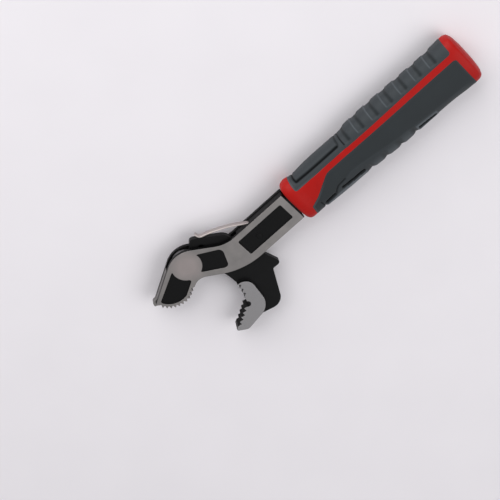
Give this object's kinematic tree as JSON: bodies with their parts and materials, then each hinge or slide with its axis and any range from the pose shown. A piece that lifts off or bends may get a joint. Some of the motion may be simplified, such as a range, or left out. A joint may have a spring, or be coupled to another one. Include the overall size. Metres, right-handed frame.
{
  "type": "self-adjusting pipe wrench",
  "caption": "One-handed pipe wrench: a fixed toothed beak on riveted side plates, a spring-closed toothed hook jaw swinging on one pin, and a red and grey soft-pad grip.",
  "frame": {"origin": "on the pivot axis, at the back face of the back side plate, where the pivot pin's flat head lies flush", "axes": "+X along the shank and grip to the butt, +Y to the spring side of the shank, +Z along the pivot axis out of the front face"},
  "size_m": [0.3007, 0.0905, 0.026],
  "materials": {
    "plate_steel": "satin ground faces, black in the sunk panels",
    "jaw_steel": "hardened and machined",
    "black_steel": "satin black coat, bright where the head is machined",
    "spring_steel": "bright rolled strip",
    "bronze": "turned",
    "red_plastic": "hard moulded, half gloss",
    "grey_rubber": "soft overmould, fine matt grain"
  },
  "bodies": {
    "handle": {"front_side_plate": "plate_steel", "back_side_plate": "plate_steel", "fixed_jaw_block": "jaw_steel", "shank_spacer": "black_steel", "pivot_pin": "jaw_steel", "shank_rivet": "black_steel", "tang_rivet_1": "black_steel", "tang_rivet_2": "black_steel", "jaw_dowel_1": "jaw_steel", "jaw_dowel_2": "jaw_steel", "shank_dowel": "jaw_steel", "front_thrust_washer": "jaw_steel", "back_thrust_washer": "jaw_steel", "stop_pin": "jaw_steel", "spring_pin": "jaw_steel", "leaf_spring": "spring_steel", "grip_core": "red_plastic", "upper_grip_pad": "grey_rubber", "lower_grip_pad": "grey_rubber"},
    "hook_jaw": {"hook_jaw": "black_steel", "pivot_bush": "bronze"}
  },
  "joints": [
    {"name": "hook_jaw_pivot", "type": "hinge", "parent": "handle", "child": "hook_jaw", "pos_m": [0, 0, 0.006], "axis": [0, 0, 1], "range_deg": [-38, 9], "stiffness_Nm_per_rad": 0.55, "springref_deg": -40.11, "deforming": ["leaf_spring"]}
  ]
}
